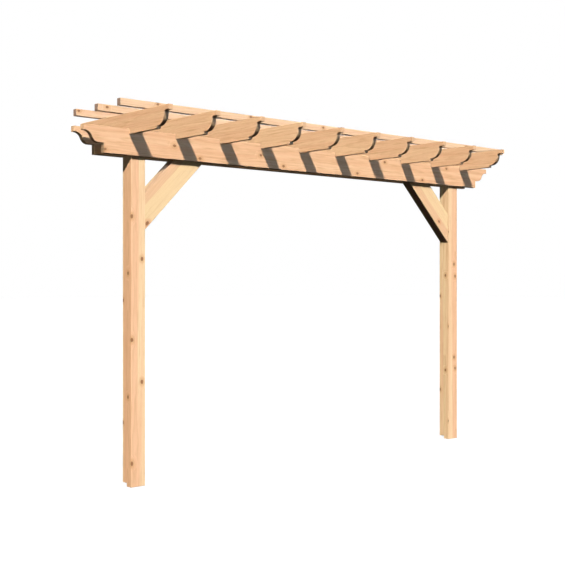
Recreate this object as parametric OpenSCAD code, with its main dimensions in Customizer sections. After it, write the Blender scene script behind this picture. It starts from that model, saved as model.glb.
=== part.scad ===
// Open timber pergola on two posts: a pair of beams let into the posts, two knee braces,
// ten notched rafters across the beams and three purlins on top of them.
// The origin is the middle of the bearing face at the foot of the left post.
// +X runs along the beams to the right post, +Y from front to back, +Z up.

/* [Overall] */
// Width over the outer faces of the two posts
frame_w = 4224; // [3000:1:6000]
// Height from the ground to the underside of the beams
headroom = 2775; // [2000:1:3600]

/* [Posts] */
// Width of a post along the beams
post_w = 140; // [100:1:200]
// Depth of a post from front to back
post_d = 130; // [100:1:200]
// Depth of the rebate across the rear of a post's foot
foot_rebate_d = 62; // [20:1:80]
// Height of that rebate above the ground
foot_rebate_h = 30; // [10:1:80]

/* [Beams] */
// Thickness of a beam
beam_t = 48; // [30:1:80]
// Height of a beam
beam_h = 220; // [195:1:300]
// How deep a beam is let into the face of a post
housing = 14; // [4:1:22]
// Reach of a beam past the outer face of a post, to its tip
beam_overhang = 472; // [300:1:900]
// Thickness of a beam's tip
beam_tip_t = 48; // [30:1:60]
// Length of the flat under a beam's tip
beam_tip_l = 16; // [10:1:80]
// Height of the square shoulder under a beam's end
beam_shoulder_h = 81; // [60:1:110]
// Length of the flat ledge over that shoulder
beam_ledge_l = 48; // [20:1:90]
// Radius of the hollow and of the round in a beam's end
beam_ogee_r = 68.5; // [50:0.5:90]

/* [Rafters] */
// Thickness of a rafter
rafter_t = 42; // [30:1:60]
// Height of a rafter
rafter_h = 178; // [165:1:240]
// Depth of the notch where a rafter sits over the beams
notch_d = 45; // [15:1:80]
// Play between that notch and the outer face of each beam
notch_play = 1; // [0:0.5:4]
// Reach of a rafter past the outer face of a beam, to its tip
rafter_overhang = 575; // [300:1:900]
// Thickness of a rafter's tip
rafter_tip_t = 42; // [25:1:50]
// Length of the flat under a rafter's tip
rafter_tip_l = 37; // [10:1:80]
// Height of the square shoulder under a rafter's end
rafter_shoulder_h = 22; // [10:1:40]
// Length of the flat ledge over that shoulder
rafter_ledge_l = 20; // [5:1:60]
// Radius of the hollow next to a rafter's tip
rafter_hollow_r = 24; // [15:1:40]
// Radius of the round under a rafter's end
rafter_round_r = 90; // [60:1:100]

/* [Purlins] */
// Width of a purlin from front to back
purlin_w = 50; // [30:1:80]
// Height of a purlin
purlin_h = 58; // [30:1:80]
// Distance from one purlin to the next, centre to centre
purlin_pitch = 348; // [200:1:450]
// Reach of a purlin past the first rafter
purlin_reach_left = 254; // [60:1:500]
// Reach of a purlin past the last rafter
purlin_reach_right = 372; // [60:1:500]

/* [Braces] */
// Distance down the post, and along the beam, to a brace's outer corner
brace_leg = 620; // [450:1:900]
// Width of a brace across its slope
brace_w = 220; // [120:1:280]
// How far a brace reaches up between the beams
brace_rise = 160; // [40:1:190]

/* [Hidden] */

rafter_count = 10;
// Straight steps that each arc of a shaped end is drawn in
arc_steps = 12;
// Overlap that carries a cutting shape clear of the face that it cuts
cut_past = 5;

// Levels above the ground
beam_top_z = headroom + beam_h;
rafter_z = beam_top_z - notch_d;
purlin_z = rafter_z + rafter_h;

// Depths, front to back: the bearing part of a foot is centred on the origin
foot_bearing_d = post_d - foot_rebate_d;
post_front_y = -foot_bearing_d / 2;
centre_y = post_front_y + post_d / 2;
beam_gap = post_d - 2 * housing;
beam_pair_d = beam_gap + 2 * beam_t;
beam_pair_y = centre_y - beam_pair_d / 2;

// Places along the beams: the first and last rafters stand just outside the posts
post_left_x = -post_w / 2;
post_right_x = post_left_x + frame_w - post_w;
rafter_first_x = post_left_x - rafter_t;
rafter_pitch = (frame_w + rafter_t) / (rafter_count - 1);
beam_l = frame_w + 2 * beam_overhang;
beam_x = post_left_x - beam_overhang;
rafter_l = beam_pair_d + 2 * rafter_overhang;
rafter_y = centre_y - rafter_l / 2;
purlin_x = rafter_first_x - purlin_reach_left;
purlin_l = frame_w + 2 * rafter_t + purlin_reach_left + purlin_reach_right;

beam_colour = "#f4c894";
post_colour = "#f0c18e";
rafter_colour = "#e3b486";
purlin_colour = "#f2c59a";
brace_colour = "#f5ca98";

// Points along an arc about a centre, from one angle to another
function arc(centre, r, from, to) = [
    for (step = [0:arc_steps])
        let (angle = from + (to - from) * step / arc_steps)
            centre + r * [cos(angle), sin(angle)]
];

// Waste cut from under the end of a board whose tip is at x = 0 and whose underside is at y = 0:
// a flat under the tip, a hollow, a round that it meets in one tangent, a ledge and a shoulder
module ogee_waste(tip_l, tip_y, hollow_r, round_r, ledge_l, ledge_y) {
    reach = hollow_r + round_r;
    rise = ledge_y + round_r - (tip_y - hollow_r);
    round_x = tip_l + sqrt(reach * reach - rise * rise);
    tangent = asin(rise / reach);
    polygon(concat(
        [[-cut_past, -cut_past], [-cut_past, tip_y]],
        arc([tip_l, tip_y - hollow_r], hollow_r, 90, tangent),
        arc([round_x, ledge_y + round_r], round_r, 180 + tangent, 270),
        [[round_x + ledge_l, ledge_y], [round_x + ledge_l, -cut_past]]
    ));
}

// Side view of a board with the same shaped end on the left and on the right
module shaped_board(board_l, board_h) {
    difference() {
        square([board_l, board_h]);
        children();
        translate([board_l, 0]) mirror([1, 0]) children();
    }
}

// A beam, along X, with its front face at y = 0 and its underside on the posts' shoulders
module beam() {
    translate([beam_x, beam_t, headroom])
        rotate([90, 0, 0])
            linear_extrude(beam_t)
                shaped_board(beam_l, beam_h)
                    ogee_waste(
                        beam_tip_l, beam_h - beam_tip_t, beam_ogee_r, beam_ogee_r,
                        beam_ledge_l, beam_shoulder_h
                    );
}

module front_beam() {
    color(beam_colour) translate([0, beam_pair_y, 0]) beam();
}

module back_beam() {
    color(beam_colour) translate([0, beam_pair_y + beam_pair_d - beam_t, 0]) beam();
}

// A post with its left face at x = 0: rebated foot, and a housing for a beam in each face
module post() {
    translate([0, post_front_y, 0])
        difference() {
            cube([post_w, post_d, beam_top_z]);
            translate([-cut_past, foot_bearing_d, -cut_past])
                cube([post_w + 2 * cut_past, foot_rebate_d + cut_past, foot_rebate_h + cut_past]);
            translate([-cut_past, -cut_past, headroom])
                cube([post_w + 2 * cut_past, housing + cut_past, beam_h + cut_past]);
            translate([-cut_past, post_d - housing, headroom])
                cube([post_w + 2 * cut_past, housing + cut_past, beam_h + cut_past]);
        }
}

module left_post() {
    color(post_colour) translate([post_left_x, 0, 0]) post();
}

module right_post() {
    color(post_colour) translate([post_right_x, 0, 0]) post();
}

// A brace that rises from a post's face at x = 0 towards +X at 45 degrees, and goes on up
// between the two beams to a level cut
module brace() {
    inner_leg = brace_leg - brace_w * sqrt(2);
    translate([0, centre_y + beam_gap / 2, headroom])
        rotate([90, 0, 0])
            linear_extrude(beam_gap)
                polygon([
                    [0, -brace_leg],
                    [brace_leg + brace_rise, brace_rise],
                    [inner_leg + brace_rise, brace_rise],
                    [0, -inner_leg]
                ]);
}

module left_brace() {
    color(brace_colour) translate([post_left_x + post_w, 0, 0]) brace();
}

module right_brace() {
    color(brace_colour) translate([post_right_x, 0, 0]) mirror([1, 0, 0]) brace();
}

// Rafter number n, counted from the left: along Y, shaped at both ends, notched over the beams
module rafter(n) {
    notch_l = beam_pair_d + 2 * notch_play;
    color(rafter_colour)
        translate([rafter_first_x + (n - 1) * rafter_pitch, rafter_y, rafter_z])
            rotate([90, 0, 90])
                linear_extrude(rafter_t)
                    difference() {
                        shaped_board(rafter_l, rafter_h)
                            ogee_waste(
                                rafter_tip_l, rafter_h - rafter_tip_t, rafter_hollow_r,
                                rafter_round_r, rafter_ledge_l, rafter_shoulder_h
                            );
                        translate([(rafter_l - notch_l) / 2, -cut_past])
                            square([notch_l, notch_d + cut_past]);
                    }
}

// A purlin along X on top of the rafters, a number of pitches behind the middle of the beams
module purlin(pitches_back) {
    color(purlin_colour)
        translate([purlin_x, centre_y + pitches_back * purlin_pitch - purlin_w / 2, purlin_z])
            cube([purlin_l, purlin_w, purlin_h]);
}

left_post();
right_post();
front_beam();
back_beam();
left_brace();
right_brace();
rafter(1);  // rafter_01
rafter(2);  // rafter_02
rafter(3);  // rafter_03
rafter(4);  // rafter_04
rafter(5);  // rafter_05
rafter(6);  // rafter_06
rafter(7);  // rafter_07
rafter(8);  // rafter_08
rafter(9);  // rafter_09
rafter(10);  // rafter_10
purlin(-1);  // purlin_front
purlin(0);  // purlin_middle
purlin(1);  // purlin_back
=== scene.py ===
"""Looks of an open timber pergola: two posts, a pair of beams, knee braces, rafters and purlins.

Each CAD node is replaced by one planed timber of the same outline. Its arrises are eased, and it carries
attributes that say where each point lies in the tree it was sawn from, so that growth rings, knots and end
grain run through the piece as they do in real pine.
"""

import logging
import math
from abc import ABC, abstractmethod
from dataclasses import dataclass, field
from enum import Enum
from typing import Any

import bmesh
import bpy
import numpy as np
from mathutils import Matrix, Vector


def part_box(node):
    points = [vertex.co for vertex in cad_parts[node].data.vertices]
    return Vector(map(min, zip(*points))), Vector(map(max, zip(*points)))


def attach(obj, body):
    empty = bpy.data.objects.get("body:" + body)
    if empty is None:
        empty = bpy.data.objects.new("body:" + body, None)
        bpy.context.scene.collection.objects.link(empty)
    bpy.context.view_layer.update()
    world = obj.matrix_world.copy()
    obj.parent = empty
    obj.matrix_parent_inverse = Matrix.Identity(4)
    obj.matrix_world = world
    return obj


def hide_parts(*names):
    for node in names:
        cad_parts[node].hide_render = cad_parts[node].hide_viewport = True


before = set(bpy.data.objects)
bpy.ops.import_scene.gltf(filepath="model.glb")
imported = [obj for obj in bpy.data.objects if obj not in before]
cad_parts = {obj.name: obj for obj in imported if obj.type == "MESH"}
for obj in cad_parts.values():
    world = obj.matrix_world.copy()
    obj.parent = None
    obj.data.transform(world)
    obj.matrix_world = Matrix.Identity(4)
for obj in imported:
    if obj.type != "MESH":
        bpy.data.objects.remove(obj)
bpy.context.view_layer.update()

Tree = bpy.types.NodeTree
Socket = bpy.types.NodeSocket
Pieces = list[bpy.types.Object]
Places = tuple[tuple[float, float], ...]
Triple = tuple[float, float, float]

LOG = logging.getLogger("pergola")
MM = 0.001

# Noise cells in each metre of timber: along the grain, or along, across and through.
STREAKS_ALONG = 0.5
VEINS_ALONG = 4.5
FIBRES_ALONG = 1 / 0.045
WANDER_CELLS = (1.5, 9.0, 9.0)
KNOT_EDGE_CELLS = (60.0, 110.0, 110.0)

# Share of late wood at places across one growth ring, from the pith outwards.
LATE_WOOD_RISE = ((0.40, 0.08), (0.72, 0.5), (0.90, 1.0), (0.97, 0.15))

# How strongly an axis across the grain counts as upwards: mostly by Z, then by Y, then by X.
UPWARDS = (0.01, 0.1, 1.0)
# Metres along the tree between the place of the palest board and that of the warmest.
TREE_REACH = 7.3
# Stands for no knot: metres along and across, and a radius, that never show.
NO_KNOT = (9.0, 9.0, 0.001)
# Points closer than this many mm are one point.
WELD = 0.01
# Faces in an eased arris, and the least angle in degrees that counts as an arris.
ARRIS_STEPS = 3
ARRIS_ANGLE = 35.0


class Plane(Enum):
    """The upright plane of a side view: its level axis, its upright axis and the axis of its thickness."""

    LENGTHWISE = (0, 2, 1)
    CROSSWISE = (1, 2, 0)


class Side(Enum):
    """The side that a knot shows on: the timber axis that its normal follows, and which way, 0 for both.

    A knot in a board goes through from one wide side to the other. A post has four sides.
    """

    THROUGH = (2, 0)
    FRONT = (1, -1)
    BACK = (1, 1)
    LEFT = (2, -1)
    RIGHT = (2, 1)


@dataclass(frozen=True)
class Knot:
    """A branch knot on a timber.

    Args:
        along: Distance in mm from the low end of the timber, along the grain.
        across: Distance in mm from the low edge of the side that it shows on.
        size: Its width in mm.
        side: The side of the timber that it shows on.
    """

    along: float
    across: float
    size: float = 24.0
    side: Side = Side.THROUGH


def knots_at(places: Places, size: float = 24.0, side: Side = Side.THROUGH) -> tuple[Knot, ...]:
    """Knots of one size on one side.

    Args:
        places: For each knot, its distances along and across in mm.
        size: Their width in mm.
        side: The side that they show on.

    Returns:
        The knots.
    """
    return tuple(Knot(along, across, size, side) for along, across in places)


def linear(hex_colour: str) -> tuple[float, float, float, float]:
    """Turns an sRGB hex colour to linear light.

    Args:
        hex_colour: Six hex digits after a hash sign.

    Returns:
        Red, green, blue and an alpha of 1.
    """
    srgb = np.array([int(hex_colour[at:at + 2], 16) for at in (1, 3, 5)]) / 255
    light = np.where(srgb <= 0.04045, srgb / 12.92, ((srgb + 0.055) / 1.055) ** 2.4)
    return (*light.tolist(), 1.0)


def add(tree: Tree, kind: str, inputs: dict[Any, Any] | None = None, **settings: Any) -> bpy.types.Node:
    """Adds one node to a tree.

    Args:
        tree: The node tree.
        kind: The node's type.
        inputs: For each input, by name or index, a constant or the output that feeds it.
        settings: The node's own properties.

    Returns:
        The node.
    """
    node = tree.nodes.new(kind)
    for name, value in settings.items():
        setattr(node, name, value)
    for key, value in (inputs or {}).items():
        if isinstance(value, Socket):
            tree.links.new(value, node.inputs[key])
        else:
            node.inputs[key].default_value = value
    return node


@dataclass(frozen=True)
class PlanedPine:
    """Planed softwood with a clear oil: cream early wood, tan late wood and small brown knots.

    Planing leaves a smooth satin face, so the eye sees rings and fibre as colour first and as a faint ridge
    second. Where the saw crossed the grain the oil sinks in, so end grain has a colour of its own. Real
    rings are 3 to 6 mm wide: they are drawn at 9 mm, because finer ones don't show from a few metres off.

    Args:
        name: The material's name.
        cream: Early wood in the palest bands.
        pink: Early wood in the warmest bands.
        late: Late wood.
        end: End grain.
        end_share: How far end grain covers the colour below it.
        heart_r: Radius of the warmer heartwood round the pith, in mm, or 0 for none.
        heart_waver: How far its edge wavers, in mm.
        heart_fade: Half the width of its edge, in mm.
        knot: The middle of a knot.
        halo: The glow round a knot.
        late_share: How far late wood covers the early wood.
        vein_share: How far a resin vein covers the colour below it.
        fibre_share: How far a dark fibre covers the colour below it.
        ring: Width of a growth ring in mm.
        wander: How far a ring wanders from a circle, in mm.
        taper: How far a ring moves in for each step along the grain, which draws arches on flat-sawn faces.
        knot_stretch: A knot's width over its length.
        fibre: Width of a fibre bundle in mm.
        vein: Width of a darker vein in mm.
        streak: Width of a pale or warm band in mm.
        ridge: Height of the ridges that planing leaves, in mm.
        roughness: Roughness of the planed face.
        roughness_play: How far fibres lower and raise it.
        ior: Index of refraction of the oil.
    """

    name: str
    cream: str
    pink: str
    late: str
    end: str
    end_share: float = 0.5
    heart_r: float = 0.0
    heart_waver: float = 50.0
    heart_fade: float = 7.0
    knot: str = "#8f5a33"
    halo: str = "#cf9660"
    late_share: float = 0.30
    vein_share: float = 0.55
    fibre_share: float = 0.30
    ring: float = 9.0
    wander: float = 30.0
    taper: float = 0.012
    knot_stretch: float = 0.7
    fibre: float = 1.6
    vein: float = 16.0
    streak: float = 42.0
    ridge: float = 0.4
    roughness: float = 0.58
    roughness_play: tuple[float, float] = (-0.06, 0.08)
    ior: float = 1.5

    def material(self) -> bpy.types.Material:
        """Builds the node tree.

        Rings: the distance from the pith, plus a slow wander and a swelling round each knot, divided by the
        ring width; its fraction rises slowly to late wood and drops at once.

        Returns:
            The material.
        """
        made = bpy.data.materials.new(self.name)
        made.use_nodes = True
        tree = made.node_tree
        tree.nodes.clear()
        at = add(tree, "ShaderNodeAttribute", attribute_name="timber_at").outputs["Vector"]
        end_cut = add(tree, "ShaderNodeAttribute", attribute_name="end_cut").outputs["Fac"]
        tone = add(tree, "ShaderNodeAttribute", attribute_name="board_tone").outputs["Fac"]
        reach, radius = self._knot_reach(tree, at)
        late = self._late_wood(tree, at, reach, radius)
        fibre = self._noise(tree, at, (FIBRES_ALONG, 1 / (self.fibre * MM), 1 / (self.fibre * MM)), 3.0)
        colour = self._colour(tree, at, tone, late, fibre, reach, end_cut)
        height = add(tree, "ShaderNodeMath", {0: late, 1: fibre}, operation="ADD").outputs[0]
        bump = add(tree, "ShaderNodeBump", {"Strength": 0.5, "Distance": self.ridge * MM, "Height": height})
        smoother, rougher = self.roughness_play
        rough = add(tree, "ShaderNodeMapRange", {
            "Value": fibre, "To Min": self.roughness + smoother, "To Max": self.roughness + rougher,
        })
        shader = add(tree, "ShaderNodeBsdfPrincipled", {
            "Base Color": colour, "Roughness": rough.outputs[0], "Normal": bump.outputs[0], "IOR": self.ior,
        })
        add(tree, "ShaderNodeOutputMaterial", {"Surface": shader.outputs[0]})
        return made

    @staticmethod
    def _noise(tree: Tree, at: Socket, scale: Triple, detail: float) -> Socket:
        """Noise whose grain is drawn out along the timber.

        Args:
            tree: The node tree.
            at: The place in the timber.
            scale: Noise cells in each metre along, across and through.
            detail: Octaves.

        Returns:
            A value about one half.
        """
        drawn = add(tree, "ShaderNodeVectorMath", {0: at, 1: scale}, operation="MULTIPLY")
        inputs = {"Vector": drawn.outputs[0], "Scale": 1.0, "Detail": detail}
        return add(tree, "ShaderNodeTexNoise", inputs).outputs[0]

    def _knot_reach(self, tree: Tree, at: Socket) -> tuple[Socket, Socket]:
        """Distance from the nearest knot in knot radii: the length of (along * stretch, across) / radius.

        Args:
            tree: The node tree.
            at: The place in the timber.

        Returns:
            The distance, with an uneven edge, and the knot's radius in metres.
        """
        knot_at = add(tree, "ShaderNodeAttribute", attribute_name="knot_at").outputs["Vector"]
        radius = add(tree, "ShaderNodeSeparateXYZ", {0: knot_at}).outputs[2]
        stretch = (self.knot_stretch, 1.0, 0.0)
        flat = add(tree, "ShaderNodeVectorMath", {0: knot_at, 1: stretch}, operation="MULTIPLY")
        length = add(tree, "ShaderNodeVectorMath", {0: flat.outputs[0]}, operation="LENGTH")
        even = add(tree, "ShaderNodeMath", {0: length.outputs["Value"], 1: radius}, operation="DIVIDE")
        uneven = self._noise(tree, at, KNOT_EDGE_CELLS, 2.0)
        edge = add(tree, "ShaderNodeMapRange", {"Value": uneven, "To Min": -0.3, "To Max": 0.3})
        reach = add(tree, "ShaderNodeMath", {0: even.outputs[0], 1: edge.outputs[0]}, operation="ADD")
        return reach.outputs[0], radius

    def _late_wood(self, tree: Tree, at: Socket, reach: Socket, radius: Socket) -> Socket:
        """Share of late wood, from the fraction of (distance from the pith + wander + swelling) / ring.

        Args:
            tree: The node tree.
            at: The place in the timber.
            reach: Distance from the nearest knot, in knot radii.
            radius: That knot's radius.

        Returns:
            0 in early wood to 1 in late wood.
        """
        section = add(tree, "ShaderNodeVectorMath", {0: at, 1: (self.taper, 1.0, 1.0)}, operation="MULTIPLY")
        distance = add(tree, "ShaderNodeVectorMath", {0: section.outputs[0]}, operation="LENGTH")
        slow = self._noise(tree, at, WANDER_CELLS, 2.0)
        wander = add(tree, "ShaderNodeMath", {0: slow, 1: self.wander * MM, 2: distance.outputs["Value"]},
                     operation="MULTIPLY_ADD")
        swell = add(tree, "ShaderNodeMapRange", {
            "Value": reach, "From Min": 0.5, "From Max": 5.0, "To Min": 1.6, "To Max": 0.0,
        }, interpolation_type="SMOOTHERSTEP")
        bulged = add(tree, "ShaderNodeMath", {0: swell.outputs[0], 1: radius, 2: wander.outputs[0]},
                     operation="MULTIPLY_ADD")
        rings = add(tree, "ShaderNodeMath", {0: bulged.outputs[0], 1: 1 / (self.ring * MM)},
                    operation="MULTIPLY")
        phase = add(tree, "ShaderNodeMath", {0: rings.outputs[0]}, operation="FRACT")
        ramp = add(tree, "ShaderNodeValToRGB", {0: phase.outputs[0]})
        ramp.color_ramp.elements[0].color = (0.0, 0.0, 0.0, 1.0)
        ramp.color_ramp.elements[1].color = (0.0, 0.0, 0.0, 1.0)
        for position, share in LATE_WOOD_RISE:
            ramp.color_ramp.elements.new(position).color = (share, share, share, 1.0)
        return ramp.outputs[0]

    def _colour(self, tree: Tree, at: Socket, tone: Socket, late: Socket, fibre: Socket, reach: Socket,
                end_cut: Socket) -> Socket:
        """Lays the other colours over the early wood, from the warm bands to the knots and end grain.

        Heartwood fades in where (distance from the pith - waver * band noise) falls below its radius.

        Args:
            tree: The node tree.
            at: The place in the timber.
            tone: The board's own shade, 0 to 1.
            late: Share of late wood.
            fibre: Fine fibre noise.
            reach: Distance from the nearest knot, in knot radii.
            end_cut: How squarely the face crosses the grain.

        Returns:
            The colour.
        """
        streak = self._noise(tree, at, (STREAKS_ALONG, 1 / (self.streak * MM), 1 / (self.streak * MM)), 2.0)
        section = add(tree, "ShaderNodeVectorMath", {0: at, 1: (0.0, 1.0, 1.0)}, operation="MULTIPLY")
        from_pith = add(tree, "ShaderNodeVectorMath", {0: section.outputs[0]}, operation="LENGTH")
        uneven = add(tree, "ShaderNodeMath", {
            0: streak, 1: -self.heart_waver * MM, 2: from_pith.outputs["Value"],
        }, operation="MULTIPLY_ADD")
        edge = self.heart_r - self.heart_waver / 2
        heart = add(tree, "ShaderNodeMapRange", {
            "Value": uneven.outputs[0], "From Min": (edge - self.heart_fade) * MM,
            "From Max": (edge + self.heart_fade) * MM, "To Min": 0.85, "To Max": 0.0,
        }, interpolation_type="SMOOTHSTEP")
        vein = self._noise(tree, at, (VEINS_ALONG, 1 / (self.vein * MM), 1 / (self.vein * MM)), 4.0)
        vein_part = add(tree, "ShaderNodeMapRange", {
            "Value": vein, "From Min": 0.52, "From Max": 0.80, "To Max": self.vein_share,
        })
        shade = add(tree, "ShaderNodeMath", {0: streak, 1: tone}, operation="ADD")
        warm = add(tree, "ShaderNodeMapRange", {
            "Value": shade.outputs[0], "From Min": 0.75, "From Max": 1.25,
        })
        late_part = add(tree, "ShaderNodeMath", {0: late, 1: self.late_share}, operation="MULTIPLY")
        fibre_part = add(tree, "ShaderNodeMapRange", {
            "Value": fibre, "From Min": 0.5, "From Max": 0.8, "To Max": self.fibre_share,
        })
        halo_part = add(tree, "ShaderNodeMapRange", {
            "Value": reach, "From Min": 1.0, "From Max": 3.2, "To Min": 0.55, "To Max": 0.0,
        }, interpolation_type="SMOOTHSTEP")
        knot_part = add(tree, "ShaderNodeMapRange", {
            "Value": reach, "From Min": 0.8, "From Max": 1.1, "To Min": 0.9, "To Max": 0.0,
        }, interpolation_type="SMOOTHSTEP")
        end_part = add(tree, "ShaderNodeMapRange", {
            "Value": end_cut, "From Min": 0.6, "From Max": 1.0, "To Max": self.end_share,
        }, interpolation_type="SMOOTHSTEP")
        colour: Any = linear(self.cream)
        layers = (
            (warm.outputs[0], self.pink), (heart.outputs[0], self.pink),
            (vein_part.outputs[0], self.late), (late_part.outputs[0], self.late),
            (fibre_part.outputs[0], self.late), (halo_part.outputs[0], self.halo),
            (knot_part.outputs[0], self.knot), (end_part.outputs[0], self.end),
        )
        for share, over in layers:
            mixed = add(tree, "ShaderNodeMix", data_type="RGBA")
            colours = [socket for socket in mixed.inputs if socket.type == "RGBA"]
            tree.links.new(share, mixed.inputs[0])
            if isinstance(colour, tuple):
                colours[0].default_value = colour
            else:
                tree.links.new(colour, colours[0])
            colours[1].default_value = linear(over)
            colour = next(socket for socket in mixed.outputs if socket.type == "RGBA")
        return colour


def walk(points: np.ndarray, parts: np.ndarray) -> np.ndarray:
    """Divides each stretch of a line into equal parts: start + share * (end - start).

    Args:
        points: Corners, one in each row.
        parts: How many parts each stretch takes.

    Returns:
        The divided line.
    """
    stretch = np.repeat(np.arange(len(parts)), parts)
    step = np.arange(parts.sum()) - np.repeat(np.cumsum(parts) - parts, parts)
    share = (step / parts[stretch])[:, None]
    inner = points[stretch] + share * (points[stretch + 1] - points[stretch])
    return np.vstack((inner, points[-1:]))


def ribbed_shape(lower: np.ndarray, upper: np.ndarray, cell: float) -> tuple[np.ndarray, np.ndarray]:
    """A board as a ring of four edges carried along matched lower and upper lines.

    Point (i, k) is rib i at corner k of the ring: low near, high near, high far, low far.

    Args:
        lower: Corners of the lower line in the side view. Its ends are those of the upper line.
        upper: The matching corners of the upper line.
        cell: The longest part that a stretch is divided into.

    Returns:
        Points as (level, upright, 0 near or 1 far), and quads of point indices.
    """
    longest = np.maximum(*(np.linalg.norm(np.diff(line, axis=0), axis=1) for line in (lower, upper)))
    parts = np.maximum(1, np.ceil(longest / cell)).astype(int)
    low, high = walk(lower, parts), walk(upper, parts)
    ring = np.stack((low, high, high, low), axis=1)
    depth = np.broadcast_to(np.array([0.0, 0.0, 1.0, 1.0])[None, :, None], (len(low), 4, 1))
    points = np.concatenate((ring, depth), axis=2).reshape(-1, 3)
    rib, corner = (axis.ravel() for axis in np.mgrid[0:len(low) - 1, 0:4])
    turn = (corner + 1) % 4
    quads = np.stack((rib * 4 + corner, rib * 4 + 4 + corner, rib * 4 + 4 + turn, rib * 4 + turn), axis=1)
    return points, quads


def celled_shape(columns: np.ndarray, levels: np.ndarray,
                 filled: np.ndarray) -> tuple[np.ndarray, np.ndarray]:
    """A timber of stepped outline: every filled cell of a grid, near and far, with a wall at each step.

    Args:
        columns: The level places of the grid's lines.
        levels: The upright places of the grid's lines.
        filled: Whether each cell, by level and column, is timber.

    Returns:
        Points as (level, upright, 0 near or 1 far), and quads of point indices.
    """
    wide = len(columns)
    layer = wide * len(levels)
    across, up = np.meshgrid(columns, levels)
    flat = np.stack((across.ravel(), up.ravel()), axis=1)
    points = np.vstack([np.column_stack((flat, np.full(layer, far))) for far in (0.0, 1.0)])
    padded = np.pad(filled, 1)
    row, column = np.nonzero(filled)
    corner = row * wide + column
    face = np.stack((corner, corner + 1, corner + wide + 1, corner + wide), axis=1)
    quads = [face, face + layer]
    for step, along in ((1, wide), (0, 1)):
        changes = np.diff(padded.astype(int), axis=step) != 0
        changes = changes[1:-1, :] if step == 1 else changes[:, 1:-1]
        row, column = np.nonzero(changes)
        corner = row * wide + column
        quads.append(np.stack((corner, corner + along, corner + along + layer, corner + layer), axis=1))
    joined = np.vstack(quads)
    used, renumbered = np.unique(joined, return_inverse=True)
    return points[used], renumbered.reshape(joined.shape)


@dataclass(frozen=True)
class ShapedEnd:
    """The shaped end of a board, sizes in mm.

    Args:
        tip_l: Length of the flat under the tip.
        tip_t: Thickness of the tip.
        hollow_r: Radius of the hollow next to the tip.
        round_r: Radius of the round under it.
        ledge_l: Length of the level ledge behind the round.
        shoulder_h: Height of the square shoulder.
        steps: Points in each arc.
    """

    tip_l: float
    tip_t: float
    hollow_r: float
    round_r: float
    ledge_l: float
    shoulder_h: float
    steps: int = 14

    def line(self, board_h: float) -> np.ndarray:
        """Line from the tip's upper corner to the foot of the shoulder.

        The hollow and the round are arcs centre + r * (cos t, sin t) that meet in one tangent.

        Args:
            board_h: Height of the board in mm.

        Returns:
            Points in mm: distance from the tip, and height above the underside.
        """
        tip_y = board_h - self.tip_t
        rise = self.shoulder_h + self.round_r - (tip_y - self.hollow_r)
        reach = self.hollow_r + self.round_r
        round_x = self.tip_l + math.sqrt(reach * reach - rise * rise)
        tangent = math.asin(rise / reach)
        hollow_t = np.linspace(math.pi / 2, tangent, self.steps)
        round_t = np.linspace(math.pi + tangent, 1.5 * math.pi, self.steps)
        hollow = np.array([self.tip_l, tip_y - self.hollow_r]) + self.hollow_r * np.stack(
            (np.cos(hollow_t), np.sin(hollow_t)), axis=1)
        rounded = np.array([round_x, self.shoulder_h + self.round_r]) + self.round_r * np.stack(
            (np.cos(round_t), np.sin(round_t)), axis=1)
        ledge_x = round_x + self.ledge_l
        return np.vstack((
            [[0.0, board_h], [0.0, tip_y]], hollow, rounded[1:],
            [[ledge_x, self.shoulder_h], [ledge_x, 0.0]],
        ))


def matched_top(lower: np.ndarray, height: float) -> np.ndarray:
    """Places on a straight top edge for the corners of a lower line.

    Each is halfway between the corner's own place and its share of the lower line's length, so they keep
    their order where the lower line runs straight up or down.

    Args:
        lower: The lower line, from one upper corner of the board to the other.
        height: Height of the top edge.

    Returns:
        The matching corners of the top edge.
    """
    travelled = np.concatenate(([0.0], np.cumsum(np.linalg.norm(np.diff(lower, axis=0), axis=1))))
    start, length = lower[0, 0], lower[-1, 0] - lower[0, 0]
    place = start + 0.5 * (lower[:, 0] - start) + 0.5 * length * travelled / travelled[-1]
    return np.column_stack((place, np.full(len(place), height)))


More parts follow.
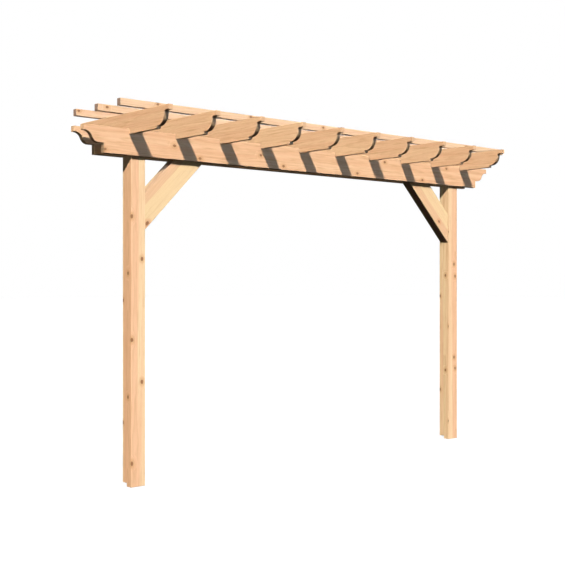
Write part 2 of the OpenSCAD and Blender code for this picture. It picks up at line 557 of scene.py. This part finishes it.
@dataclass
class Timber(ABC):
    """One timber that stands for a CAD node.

    Args:
        node: The CAD node.
        slot: The record's material slot; not used.
        plane: The plane of its side view.
        grain: Direction of the grain.
        pith: Place of the pith in mm from the middle of the section, across and through.
        tone: The board's own shade, 0 cream to 1 pink.
        knots: Its knots.
        arris: Width of its eased arrises in mm.
        cell: The longest face along it in mm.
        low: Low corner of the node's box, in metres.
        high: High corner of the node's box, in metres.
    """

    node: str
    slot: str
    plane: Plane
    grain: Triple
    pith: tuple[float, float]
    tone: float
    knots: tuple[Knot, ...] = ()
    arris: float = 2.5
    cell: float = 40.0
    low: np.ndarray = field(init=False)
    high: np.ndarray = field(init=False)

    def __post_init__(self) -> None:
        """Reads the node's box, in metres."""
        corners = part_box(self.node)
        self.low, self.high = (np.array(corner, float) for corner in corners)

    @abstractmethod
    def shape(self) -> tuple[np.ndarray, np.ndarray]:
        """The side view with its thickness: points in metres as (level, upright, share of thickness)."""

    def axes(self) -> np.ndarray:
        """Unit vectors along the grain, across it (upwards where it can be) and through it, in rows."""
        along = np.array(self.grain) / np.linalg.norm(self.grain)
        through = np.eye(3)[self.plane.value[2]]
        across = np.cross(through, along)
        lifted = across if across @ np.array(UPWARDS) > 0 else -across
        return np.stack((along, lifted, through))

    def build(self, finish: bpy.types.Material) -> bpy.types.Object:
        """Makes the piece, puts it in place of its CAD node and dresses it.

        Args:
            finish: Its material.

        Returns:
            The piece.
        """
        flat, quads = self.shape()
        level, upright, thick = self.plane.value
        points = np.empty_like(flat)
        points[:, level] = flat[:, 0]
        points[:, upright] = flat[:, 1]
        points[:, thick] = self.low[thick] + flat[:, 2] * (self.high[thick] - self.low[thick])
        rough = bpy.data.meshes.new(self.node + "_rough")
        rough.from_pydata(points.tolist(), [], quads.tolist())
        piece = bpy.data.objects.new(self.node + "_planed", rough)
        bpy.context.scene.collection.objects.link(piece)
        self._close(rough)
        piece.data = self._ease(piece)
        piece.data.name = piece.name
        bpy.data.meshes.remove(rough)
        self._mark(piece.data)
        piece.data.materials.append(finish)
        weighted = piece.modifiers.new("even_faces", "WEIGHTED_NORMAL")
        weighted.keep_sharp = True
        piece.visible_diffuse = False
        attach(piece, "root")
        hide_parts(self.node)
        LOG.info("%s: %d faces", piece.name, len(piece.data.polygons))
        return piece

    @staticmethod
    def _close(mesh: bpy.types.Mesh) -> None:
        """Merges the points that meet at the ends and turns every face outwards.

        Args:
            mesh: The mesh.
        """
        work = bmesh.new()
        work.from_mesh(mesh)
        bmesh.ops.remove_doubles(work, verts=work.verts, dist=WELD * MM)
        bmesh.ops.recalc_face_normals(work, faces=work.faces)
        work.to_mesh(mesh)
        work.free()

    def _ease(self, piece: bpy.types.Object) -> bpy.types.Mesh:
        """Rounds the arrises.

        Args:
            piece: The piece with sharp arrises.

        Returns:
            A mesh with eased ones.
        """
        bevel = piece.modifiers.new("eased_arris", "BEVEL")
        bevel.width = self.arris * MM
        bevel.segments = ARRIS_STEPS
        bevel.limit_method = "ANGLE"
        bevel.angle_limit = math.radians(ARRIS_ANGLE)
        bevel.use_clamp_overlap = False
        graph = bpy.context.evaluated_depsgraph_get()
        eased = bpy.data.meshes.new_from_object(piece.evaluated_get(graph))
        piece.modifiers.clear()
        eased.polygons.foreach_set("use_smooth", np.ones(len(eased.polygons), bool))
        return eased

    def _mark(self, mesh: bpy.types.Mesh) -> None:
        """Writes where each point lies in the tree, how each face cuts the grain, and its nearest knot.

        timber_at is (p - low end) . axes, less the pith. end_cut is |normal . grain|. knot_at holds, for
        each corner of a face, its distance from the face's nearest knot along and across, and the radius.

        Args:
            mesh: The finished mesh.
        """
        axes = self.axes()
        count, faces = len(mesh.vertices), len(mesh.polygons)
        points, centres, normals = np.empty(count * 3), np.empty(faces * 3), np.empty(faces * 3)
        corners, sizes = np.empty(len(mesh.loops), int), np.empty(faces, int)
        mesh.vertices.foreach_get("co", points)
        mesh.polygons.foreach_get("center", centres)
        mesh.polygons.foreach_get("normal", normals)
        mesh.loops.foreach_get("vertex_index", corners)
        mesh.polygons.foreach_get("loop_total", sizes)
        points = points.reshape(-1, 3) @ axes.T
        start = points.min(axis=0)
        points = points - start
        centres = centres.reshape(-1, 3) @ axes.T - start
        normals = normals.reshape(-1, 3) @ axes.T
        middle = points.max(axis=0) / 2
        pith = np.array([0.0, middle[1] + self.pith[0] * MM, middle[2] + self.pith[1] * MM])
        shift = np.array([TREE_REACH * self.tone, 0.0, 0.0])
        knot_at = self._knot_values(points, centres, normals, corners, sizes)
        values = {
            "timber_at": ("FLOAT_VECTOR", "POINT", points - pith + shift),
            "end_cut": ("FLOAT", "FACE", np.abs(normals[:, 0])),
            "board_tone": ("FLOAT", "FACE", np.full(faces, self.tone)),
            "knot_at": ("FLOAT_VECTOR", "CORNER", knot_at),
        }
        for name, (kind, domain, data) in values.items():
            attribute = mesh.attributes.new(name, kind, domain)
            channel = "vector" if kind == "FLOAT_VECTOR" else "value"
            attribute.data.foreach_set(channel, data.astype(np.float32).ravel())

    def _knot_values(self, points: np.ndarray, centres: np.ndarray, normals: np.ndarray,
                     corners: np.ndarray, sizes: np.ndarray) -> np.ndarray:
        """Distance from the nearest knot for each corner of each face.

        Args:
            points: Points along, across and through the timber, from its low end.
            centres: The faces' centres, in the same terms.
            normals: The faces' normals, in the same terms.
            corners: The point of each corner.
            sizes: How many corners each face has.

        Returns:
            Along, across and radius in metres, one row for each corner.
        """
        face_of = np.repeat(np.arange(len(sizes)), sizes)
        values = np.tile(np.array(NO_KNOT), (len(corners), 1))
        if not self.knots:
            return values
        place = np.array([(knot.along, knot.across, knot.size / 2) for knot in self.knots]) * MM
        follows = np.array([knot.side.value for knot in self.knots])
        turned = np.where(np.abs(normals[:, 2]) >= np.abs(normals[:, 1]), 2, 1)
        facing = np.sign(normals[np.arange(len(turned)), turned])
        measured = np.where(turned == 2, 1, 2)
        apart = np.hypot(
            centres[:, :1] - place[:, 0],
            centres[np.arange(len(turned)), measured][:, None] - place[:, 1],
        )
        shows = (turned[:, None] == follows[:, 0]) & (
            (follows[:, 1] == 0) | (facing[:, None] == follows[:, 1]))
        apart = np.where(shows, apart, np.inf)
        nearest = np.argmin(apart, axis=1)
        has_knot = np.isfinite(apart.min(axis=1))[face_of]
        chosen = place[nearest][face_of]
        reached = points[corners]
        cross = reached[np.arange(len(corners)), measured[face_of]]
        found = np.column_stack((reached[:, 0] - chosen[:, 0], cross - chosen[:, 1], chosen[:, 2]))
        return np.where(has_knot[:, None], found, values)


@dataclass
class Post(Timber):
    """A post with a rebate across the rear of its foot and a housing for a beam in its front and back.

    Args:
        rebate_d: Depth of the foot's rebate in mm.
        rebate_h: Height of the foot's rebate in mm.
    """

    rebate_d: float = 62.0
    rebate_h: float = 30.0

    def shape(self) -> tuple[np.ndarray, np.ndarray]:
        """Steps of the side view, front to back and upwards."""
        front, back = self.low[1], self.high[1]
        beam_front, beam_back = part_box("front_beam"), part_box("back_beam")
        inner_front, inner_back = beam_front[1][1], beam_back[0][1]
        shoulder = beam_front[0][2]
        rebate_y, rebate_z = back - self.rebate_d * MM, self.low[2] + self.rebate_h * MM
        columns = np.array([front, inner_front, rebate_y, inner_back, back])
        stops = np.array([self.low[2], rebate_z, shoulder, self.high[2]])
        parts = np.ceil(np.diff(stops) / (self.cell * MM)).astype(int)
        levels = walk(stops[:, None], parts)[:, 0]
        middle = (levels[1:] + levels[:-1]) / 2
        filled = np.ones((len(middle), len(columns) - 1), bool)
        filled[middle < rebate_z, 2:] = False
        filled[middle > shoulder, 0] = False
        filled[middle > shoulder, -1] = False
        return celled_shape(columns, levels, filled)


@dataclass
class Board(Timber):
    """A board along its plane's level axis, with plain or shaped ends and, at will, a notch under it.

    Args:
        end: The shape of both ends, or None for square ones.
        notch: Where the notch starts and ends on the level axis, and its top, in metres.
    """

    end: ShapedEnd | None = None
    notch: Triple | None = None

    def shape(self) -> tuple[np.ndarray, np.ndarray]:
        """Lower line with its shaped ends, and the top edge."""
        level = self.plane.value[0]
        start, stop, floor, top = self.low[level], self.high[level], self.low[2], self.high[2]
        height = top - floor
        corner = np.array([[0.0, height], [0.0, 0.0]])
        line = corner if self.end is None else self.end.line(height / MM) * MM
        left = line + (start, floor)
        right = line[::-1] * (-1.0, 1.0) + (stop, floor)
        cut = np.empty((0, 2))
        if self.notch is not None:
            near, far, lifted = self.notch
            cut = np.array([[near, floor], [near, lifted], [far, lifted], [far, floor]])
        lower = np.vstack((left, cut, right))
        return ribbed_shape(lower, matched_top(lower, top), self.cell * MM)


@dataclass
class KneeBrace(Timber):
    """A brace at 45 degrees from a post's face up between the beams, with upright and level cuts.

    Args:
        width: Its width across the slope, in mm.
        rises_right: Whether it rises towards the right.
        inset: How far along the upper line the inner ribs meet it, as a share of its length.
    """

    width: float = 220.0
    rises_right: bool = True
    inset: float = 0.1

    def shape(self) -> tuple[np.ndarray, np.ndarray]:
        """The four corners, from the upper corner at the post round to the upper corner at the beams."""
        cut = self.width * math.sqrt(2) * MM
        foot, tip = (self.low[0], self.high[0]) if self.rises_right else (self.high[0], self.low[0])
        inward = 1.0 if self.rises_right else -1.0
        lower = np.array([
            [foot, self.low[2] + cut], [foot, self.low[2]], [tip, self.high[2]],
            [tip - inward * cut, self.high[2]],
        ])
        first, last = lower[0], lower[3]
        run = self.inset * (last - first)
        upper = np.array([first, first + run, last - run, last])
        return ribbed_shape(lower, upper, self.cell * MM)


class Family(ABC):
    """Timbers that share a finish."""

    @abstractmethod
    def timbers(self) -> list[Timber]:
        """The family's timbers."""

    def build(self, finish: bpy.types.Material) -> Pieces:
        """Builds every timber of the family.

        Args:
            finish: Their material.

        Returns:
            The pieces.
        """
        return [timber.build(finish) for timber in self.timbers()]


@dataclass
class Posts(Family):
    """The two posts, boxed heart timber: the pith runs near the middle of the section.

    Args:
        slot: The record's material slot.
        left_front: Places of the left post's knots on its front, along and across in mm.
        right_front: Places of the right post's knots on its front.
        left_side: Places of the knots on each post's left side.
        right_side: Places of the knots on each post's right side.
        back: Places of the knots on each post's back.
    """

    slot: str = "post_timber"
    left_front: Places = ((200, 8), (880, 108), (1235, 8), (1915, 108), (2270, 8))
    right_front: Places = ((772, 108), (894, 90), (1786, 108), (1918, 90))
    left_side: Places = (
        (200, -4), (536, 125), (754, 47), (1235, -4), (1567, 125), (1794, 47), (2270, -4))
    right_side: Places = ((420, 40), (1130, 92), (1780, 35), (2440, 88))
    back: Places = ((310, 96), (1010, 34), (1680, 104), (2350, 44))

    def timbers(self) -> list[Timber]:
        """Sizes up both posts and gives each its knots.

        Returns:
            The timbers.
        """
        shared = (knots_at(self.left_side, 22, Side.LEFT) + knots_at(self.right_side, 24, Side.RIGHT)
                  + knots_at(self.back, 24, Side.BACK))
        first = knots_at(self.left_front, 26, Side.FRONT) + shared
        second = knots_at(self.right_front, 24, Side.FRONT) + shared
        post = {"slot": self.slot, "plane": Plane.CROSSWISE, "grain": (0.0, 0.0, 1.0)}
        return [
            Post(node="left_post", pith=(-8, -34), tone=0.42, knots=first, **post),
            Post(node="right_post", pith=(-12, 36), tone=0.46, knots=second, **post),
        ]


@dataclass
class BeamPair(Family):
    """The pair of beams, flat sawn, with a shaped end on the left and right.

    Args:
        slot: The record's material slot.
        end: The shape of their ends.
        front_knots: Places of the front beam's knots, along and across in mm.
        back_knots: Places of the back beam's knots.
    """

    slot: str = "beam_timber"
    end: ShapedEnd = ShapedEnd(tip_l=16, tip_t=48, hollow_r=68.5, round_r=68.5, ledge_l=48, shoulder_h=81)
    front_knots: Places = (
        (200, 30), (890, 116), (1160, 28), (1855, 114), (2130, 33), (3110, 33), (3505, 175), (4085, 30),
        (4477, 178))
    back_knots: Places = (
        (430, 130), (1310, 40), (2270, 150), (2890, 60), (3760, 140), (4560, 50))

    def timbers(self) -> list[Timber]:
        """Sizes up both beams and gives each its knots.

        Returns:
            The timbers.
        """
        front, back = knots_at(self.front_knots), knots_at(self.back_knots)
        beam = {"slot": self.slot, "plane": Plane.LENGTHWISE, "grain": (1.0, 0.0, 0.0), "end": self.end}
        return [
            Board(node="front_beam", pith=(20, 150), tone=0.55, knots=front, **beam),
            Board(node="back_beam", pith=(-30, -140), tone=0.4, knots=back, **beam),
        ]


@dataclass
class KneeBraces(Family):
    """The two knee braces.

    Args:
        slot: The record's material slot.
        width: Their width across the slope, in mm.
    """

    slot: str = "brace_timber"
    width: float = 220.0

    def timbers(self) -> list[Timber]:
        """Sizes up both braces, which lean towards each other.

        Returns:
            The timbers.
        """
        brace = {"slot": self.slot, "plane": Plane.LENGTHWISE, "width": self.width}
        return [
            KneeBrace(node="left_brace", grain=(1.0, 0.0, 1.0), pith=(80, -20), tone=0.2,
                      knots=(Knot(63, 24, 30),), **brace),
            KneeBrace(node="right_brace", grain=(-1.0, 0.0, 1.0), pith=(-60, -20), tone=0.25,
                      knots=(Knot(260, 55),), rises_right=False, **brace),
        ]


@dataclass
class Rafters(Family):
    """The rafters, notched over the beams, with a shaped end at the front and back.

    Args:
        slot: The record's material slot.
        count: How many there are.
        notch_play: Gap on each side of a notch, in mm.
        end: The shape of their ends.
        seed: Seed of the draws that place each rafter in its tree.
        knot_along: Where along a rafter its knot may lie, in mm.
        knot_across: Where across a rafter its knot may lie, in mm.
        pith_across: How far across the section the pith may lie from its middle, in mm.
        pith_through: How near and how far the pith may lie from the section's middle, on either side, in mm.
        tones: The palest and the warmest shade.
    """

    slot: str = "rafter_timber"
    count: int = 10
    notch_play: float = 1.0
    end: ShapedEnd = ShapedEnd(tip_l=37, tip_t=42, hollow_r=24, round_r=90, ledge_l=20, shoulder_h=22)
    seed: int = 11
    knot_along: tuple[float, float] = (760, 1180)
    knot_across: tuple[float, float] = (70, 140)
    pith_across: tuple[float, float] = (-60, 60)
    pith_through: tuple[float, float] = (70, 150)
    tones: tuple[float, float] = (0.3, 0.55)

    def timbers(self) -> list[Timber]:
        """Sizes up every rafter, each sawn from its own place in the tree.

        Returns:
            The timbers.
        """
        rafters = []
        rng = np.random.default_rng(self.seed)
        play = self.notch_play * MM
        front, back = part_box("front_beam"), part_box("back_beam")
        notch = (front[0][1] - play, back[1][1] + play, front[1][2])
        for number in range(1, self.count + 1):
            knot = Knot(rng.uniform(*self.knot_along), rng.uniform(*self.knot_across), 18, Side.RIGHT)
            rafters.append(Board(
                node=f"rafter_{number:02d}", slot=self.slot, plane=Plane.CROSSWISE, grain=(0.0, 1.0, 0.0),
                pith=(rng.uniform(*self.pith_across), rng.choice((-1, 1)) * rng.uniform(*self.pith_through)),
                tone=rng.uniform(*self.tones), knots=(knot,), arris=2.0, end=self.end, notch=notch,
            ))
        return rafters


@dataclass
class Purlins(Family):
    """The three purlins on top of the rafters, with square ends.

    Args:
        slot: The record's material slot.
        front: Places of the front purlin's knots, along and across in mm.
        middle: Places of the middle purlin's knots.
        back: Places of the back purlin's knots.
    """

    slot: str = "purlin_timber"
    front: Places = ((356, 43), (1335, 44), (2210, 36), (3420, 18), (4300, 34))
    middle: Places = ((90, 36), (980, 16), (2040, 34), (3010, 14), (4120, 38))
    back: Places = ((24, 42), (860, 18), (1890, 38), (2760, 16), (3900, 30))

    def timbers(self) -> list[Timber]:
        """Sizes up the purlins, each from further across the tree and warmer than the one before.

        Returns:
            The timbers.
        """
        places = {"purlin_front": self.front, "purlin_middle": self.middle, "purlin_back": self.back}
        return [
            Board(
                node=node, slot=self.slot, plane=Plane.LENGTHWISE, grain=(1.0, 0.0, 0.0),
                pith=(40 - 30 * order, 70), tone=0.4 + 0.1 * order, knots=knots_at(spots, 20), arris=2.0,
            )
            for order, (node, spots) in enumerate(places.items())
        ]


@dataclass(frozen=True)
class Studio:
    """Camera, floor, surround and lamps.

    Args:
        eye: Place of the camera in metres.
        azimuth: Its heading, from +Y towards +X, in degrees.
        lens: Its focal length in mm.
        sensor: The width of its sensor in mm.
        floor_half: Half the width of the floor in metres.
        floor_grey: How much light the floor's paint throws back.
        floor_glow: How bright the floor is where nothing lights it.
        surround_light: How strongly the white surround lights the pieces.
        sun: The direction that the key light travels in.
        rafter_sun: The same for the rafters, a little steeper.
        white: Colour of the key lamps.
        warm: Colour of the lamps from the left.
        sky: Colour of the fill from the front.
        mist: Colour of the level haze.
        bounce: Colour of the fills from the back and the right.
    """

    eye: Triple = (-4.751, -7.369, 1.716)
    azimuth: float = 40.91
    lens: float = 65.63
    sensor: float = 36.0
    floor_half: float = 90.0
    floor_grey: float = 0.10
    floor_glow: float = 0.93
    surround_light: float = 0.02
    sun: Triple = (0.55, 1.19, -1.0)
    rafter_sun: Triple = (0.48, 0.94, -1.16)
    white: str = "#ffffff"
    warm: str = "#fff8f0"
    sky: str = "#a7cfff"
    mist: str = "#eeffff"
    bounce: str = "#fff6ec"

    def build(self) -> bpy.types.Object:
        """Builds the camera, the surround and the floor.

        Returns:
            The floor.
        """
        bpy.context.scene.view_settings.view_transform = "Standard"
        # With linked lamps the light tree gives another picture each run, so lamps are drawn without it.
        bpy.context.scene.cycles.use_light_tree = False
        self._camera()
        self._world()
        return self._floor()

    def light(self, floor: bpy.types.Object, posts: Pieces, braces: Pieces, beams: Pieces,
              rafters: Pieces, purlins: Pieces) -> None:
        """Hangs the lamps: a key from the front left, fills from four sides and a level haze.

        The key is split by family. Posts and braces are shaded only by the frame, which is posts, braces and
        beams, and the purlins shade nothing that it lights. The fills from the left and the front are
        shaded by the frame too, and the haze by nothing but the floor. Every piece shades the last two.

        Args:
            floor: The floor.
            posts: The posts.
            braces: The braces.
            beams: The beams.
            rafters: The rafters.
            purlins: The purlins.
        """
        uprights = self._group("uprights", posts)
        knees = self._group("knees", braces)
        above = self._group("above", [floor] + beams + purlins)
        shaped = self._group("shaped", rafters)
        pair = self._group("pair", [floor] + beams)
        roof = self._group("roof", rafters + purlins)
        in_haze = self._group("in_haze", posts + beams + purlins)
        floor_only = self._group("floor_only", [floor])
        frame_only = self._group("frame_only", posts + braces + beams)
        not_purlins = self._group("not_purlins", posts + braces + beams + rafters)
        self._lamp("key_posts", self.sun, 2.63, 1.0, self.white, uprights, frame_only)
        self._lamp("key_braces", self.sun, 4.55, 1.0, self.white, knees, frame_only)
        self._lamp("key_above", self.sun, 4.55, 3.0, self.white, above, not_purlins)
        self._lamp("key_rafters", self.rafter_sun, 5.1, 1.0, self.white, shaped, not_purlins)
        self._lamp("side_posts", (1.6, 1.19, -1.0), 2.45, 3.0, self.warm, uprights, frame_only)
        self._lamp("side_beams", (1.0, 0.03, -1.05), 1.65, 14.0, self.warm, pair, frame_only)
        self._lamp("side_roof", (1.0, 0.03, -0.35), 1.5, 14.0, self.warm, roof, frame_only)
        self._lamp("front_fill", (0.0, 1.0, -1.0), 1.25, 30.0, self.sky, None, frame_only)
        self._lamp("haze", (1.0, 0.7, 0.0), 0.36, 10.0, self.mist, in_haze, floor_only)
        self._lamp("haze_braces", (0.0, 1.0, 0.0), 0.18, 10.0, self.mist, knees, floor_only)
        self._lamp("back_fill", (-0.5, -1.0, -0.35), 2.2, 30.0, self.bounce)
        self._lamp("right_fill", (-1.0, -0.15, -0.3), 1.6, 30.0, self.bounce)

    def _camera(self) -> None:
        """Places the level camera."""
        data = bpy.data.cameras.new("camera")
        data.lens = self.lens
        data.sensor_width = self.sensor
        camera = bpy.data.objects.new("camera", data)
        camera.location = self.eye
        camera.rotation_euler = (math.pi / 2, 0.0, -math.radians(self.azimuth))
        bpy.context.scene.collection.objects.link(camera)
        bpy.context.scene.camera = camera

    def _floor(self) -> bpy.types.Object:
        """Lays a plain pale floor that takes only a faint shadow and throws no light up."""
        half = self.floor_half
        mesh = bpy.data.meshes.new("floor")
        mesh.from_pydata([(-half, -half, 0), (half, -half, 0), (half, half, 0), (-half, half, 0)], [],
                         [(0, 1, 2, 3)])
        floor = bpy.data.objects.new("floor", mesh)
        bpy.context.scene.collection.objects.link(floor)
        paint = bpy.data.materials.new("matt_white_paint")
        paint.use_nodes = True
        tree = paint.node_tree
        tree.nodes.clear()
        shader = add(tree, "ShaderNodeBsdfPrincipled", {
            "Base Color": (*[self.floor_grey] * 3, 1.0), "Roughness": 1.0, "Specular IOR Level": 0.0,
            "Emission Color": linear(self.white), "Emission Strength": self.floor_glow,
        })
        add(tree, "ShaderNodeOutputMaterial", {"Surface": shader.outputs[0]})
        mesh.materials.append(paint)
        floor.visible_diffuse = False
        floor.visible_glossy = False
        return floor

    def _world(self) -> None:
        """Shows a white surround that adds only a little light."""
        world = bpy.data.worlds.new("surround")
        world.use_nodes = True
        tree = world.node_tree
        tree.nodes.clear()
        seen = add(tree, "ShaderNodeLightPath").outputs["Is Camera Ray"]
        colour = linear(self.white)
        dim = add(tree, "ShaderNodeBackground", {"Color": colour, "Strength": self.surround_light})
        white = add(tree, "ShaderNodeBackground", {"Color": colour, "Strength": 1.0})
        mixed = add(tree, "ShaderNodeMixShader", {0: seen, 1: dim.outputs[0], 2: white.outputs[0]})
        add(tree, "ShaderNodeOutputWorld", {0: mixed.outputs[0]})
        bpy.context.scene.world = world

    @staticmethod
    def _group(name: str, pieces: Pieces) -> bpy.types.Collection:
        """Groups pieces for a lamp to light or be shaded by.

        Args:
            name: The group's name.
            pieces: What is in it.

        Returns:
            The group.
        """
        group = bpy.data.collections.new(name)
        for piece in pieces:
            group.objects.link(piece)
        return group

    @staticmethod
    def _lamp(name: str, travels: Triple, strength: float, spread: float, colour: str,
              lit: bpy.types.Collection | None = None, shading: bpy.types.Collection | None = None) -> None:
        """Adds one distant lamp.

        Args:
            name: Its name.
            travels: The direction that its light travels in.
            strength: Its strength in watts on each square metre.
            spread: Its apparent size in degrees.
            colour: Its colour.
            lit: What it lights, or None for all.
            shading: What throws a shadow in its light, or None for all.
        """
        data = bpy.data.lights.new(name, "SUN")
        data.energy = strength
        data.angle = math.radians(spread)
        data.color = linear(colour)[:3]
        lamp = bpy.data.objects.new(name, data)
        lamp.rotation_euler = Vector(travels).to_track_quat("-Z", "Y").to_euler()
        lamp.light_linking.receiver_collection = lit
        lamp.light_linking.blocker_collection = shading
        bpy.context.scene.collection.objects.link(lamp)


def main() -> None:
    """Builds the studio and each sub-assembly in order, and lights them."""
    logging.basicConfig(level=logging.INFO, format="%(message)s")
    studio = Studio()
    floor = studio.build()
    post_pine = PlanedPine(
        "planed_pine_posts", cream="#f7d9a8", pink="#efba8f", late="#cb9462", end="#d8a97a", heart_r=69)
    beam_pine = PlanedPine(
        "planed_pine_beams", cream="#eec294", pink="#e2aa7e", late="#c48a57", end="#f0c79a",
        late_share=0.28, vein_share=0.75, vein=19)
    brace_pine = PlanedPine(
        "planed_pine_braces", cream="#eecb97", pink="#e6b388", late="#cb9562", end="#d8a97a",
        heart_r=56, halo="#db8f60", late_share=0.24, vein_share=0.35)
    rafter_pine = PlanedPine(
        "planed_pine_rafters", cream="#f2c89a", pink="#e8b489", late="#c58b59", end="#d8a97a",
        late_share=0.26, vein_share=0.75, fibre_share=0.5, vein=14)
    purlin_pine = PlanedPine(
        "planed_pine_purlins", cream="#efc89d", pink="#e8b48c", late="#cf9c6c", end="#8c7364",
        end_share=0.88, late_share=0.36, vein_share=0.65)
    posts = Posts().build(post_pine.material())
    beams = BeamPair().build(beam_pine.material())
    braces = KneeBraces().build(brace_pine.material())
    rafters = Rafters().build(rafter_pine.material())
    purlins = Purlins().build(purlin_pine.material())
    studio.light(floor, posts, braces, beams, rafters, purlins)


if __name__ == "__main__":
    main()
